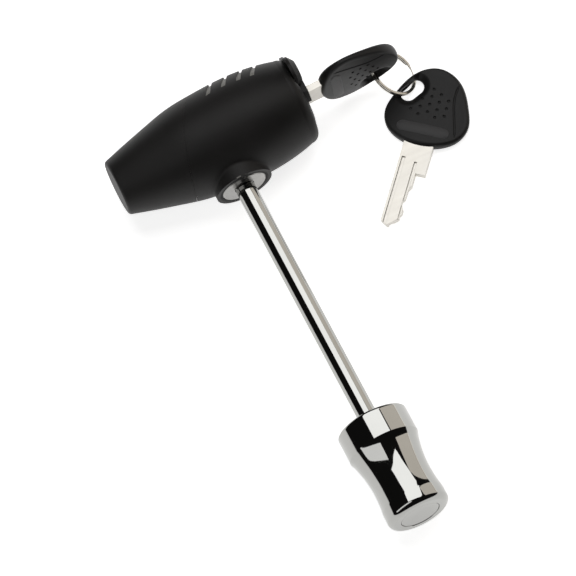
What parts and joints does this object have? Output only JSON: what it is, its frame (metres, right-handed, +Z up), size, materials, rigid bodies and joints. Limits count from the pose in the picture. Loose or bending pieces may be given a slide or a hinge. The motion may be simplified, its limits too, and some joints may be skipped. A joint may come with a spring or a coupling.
{
  "type": "hitch pin lock",
  "caption": "Locking pin with a bright flared head, held by a barrel-shaped black lock head with a keyed cylinder, dust cover and two keys on a ring.",
  "frame": {"origin": "on the pin's axis, in the bright face of the lock head", "axes": "the pin points along -Y, the lock head's own axis is parallel to X with its keyway towards +X, and +Z is up as it lies"},
  "size_m": [0.1105, 0.1556, 0.0338],
  "materials": {
    "cover_black": "satin black moulded plastic with a faint grain",
    "bow_black": "satin black moulded plastic",
    "rubber_black": "matt black rubber",
    "zinc": "grey zinc alloy die casting",
    "bright_steel": "satin plated steel",
    "spring_steel": "plain spring steel",
    "pivot_black": "blackened steel rivet",
    "brass": "plain machined brass",
    "chrome": "polished chrome plate",
    "nickel_silver": "nickel-plated brass key stock, warm and slightly brushed",
    "ring_nickel": "nickel-plated split ring"
  },
  "bodies": {
    "lock_head": {"nose_cover": "cover_black", "main_shell": "cover_black", "lock_core": "zinc", "face_plate": "bright_steel", "face_seal": "rubber_black", "pin_o_ring": "rubber_black", "cylinder_housing": "brass", "cylinder_roll_pin": "spring_steel", "cover_pivot": "pivot_black", "cover_washer": "spring_steel"},
    "pin": {"pin_shank": "chrome", "pin_head": "chrome", "head_end_plug": "chrome"},
    "plug": {"plug": "zinc", "wafers": "brass", "wafer_springs": "spring_steel", "plug_clip": "spring_steel", "drive_cam": "spring_steel"},
    "latch": {"latch_plate": "spring_steel"},
    "dust_cover": {"dust_cover": "cover_black"},
    "key_1": {"key_1_blade": "nickel_silver", "key_1_bow": "bow_black"},
    "key_ring": {"key_ring": "ring_nickel"},
    "key_2": {"key_2_blade": "nickel_silver", "key_2_bow": "bow_black"}
  },
  "joints": [
    {"name": "pin_slide", "type": "slide", "parent": "lock_head", "child": "pin", "axis": [0, -1, 0], "range_m": [0, 0.04]},
    {"name": "plug_turn", "type": "hinge", "parent": "lock_head", "child": "plug", "pos_m": [0.02, 0.018, 0], "axis": [1, 0, 0], "range_deg": [0, 90]},
    {"name": "latch_slide", "type": "slide", "parent": "lock_head", "child": "latch", "axis": [0, 0, 1], "range_m": [-0.00002, 0.00356]},
    {"name": "cover_swing", "type": "hinge", "parent": "lock_head", "child": "dust_cover", "pos_m": [0.0279, 0.0281, 0], "axis": [-1, 0, 0], "range_deg": [0, 60]},
    {"name": "key_1_slide", "type": "slide", "parent": "plug", "child": "key_1", "axis": [1, 0, 0], "range_m": [0, 0.032]},
    {"name": "ring_swing", "type": "hinge", "parent": "key_1", "child": "key_ring", "pos_m": [0.05253, 0.018, -0.00723], "axis": [0, 1, 0], "range_deg": [-20, 35]},
    {"name": "key_2_swing", "type": "hinge", "parent": "key_ring", "child": "key_2", "pos_m": [0.05826, 0.01666, -0.01204], "axis": [0.637, -0.0391, 0.7699], "range_deg": [-25, 60]}
  ],
  "couplings": [
    {"joint": "latch_slide", "follows": "plug_turn", "m_per_rad": 0.0022508}
  ]
}
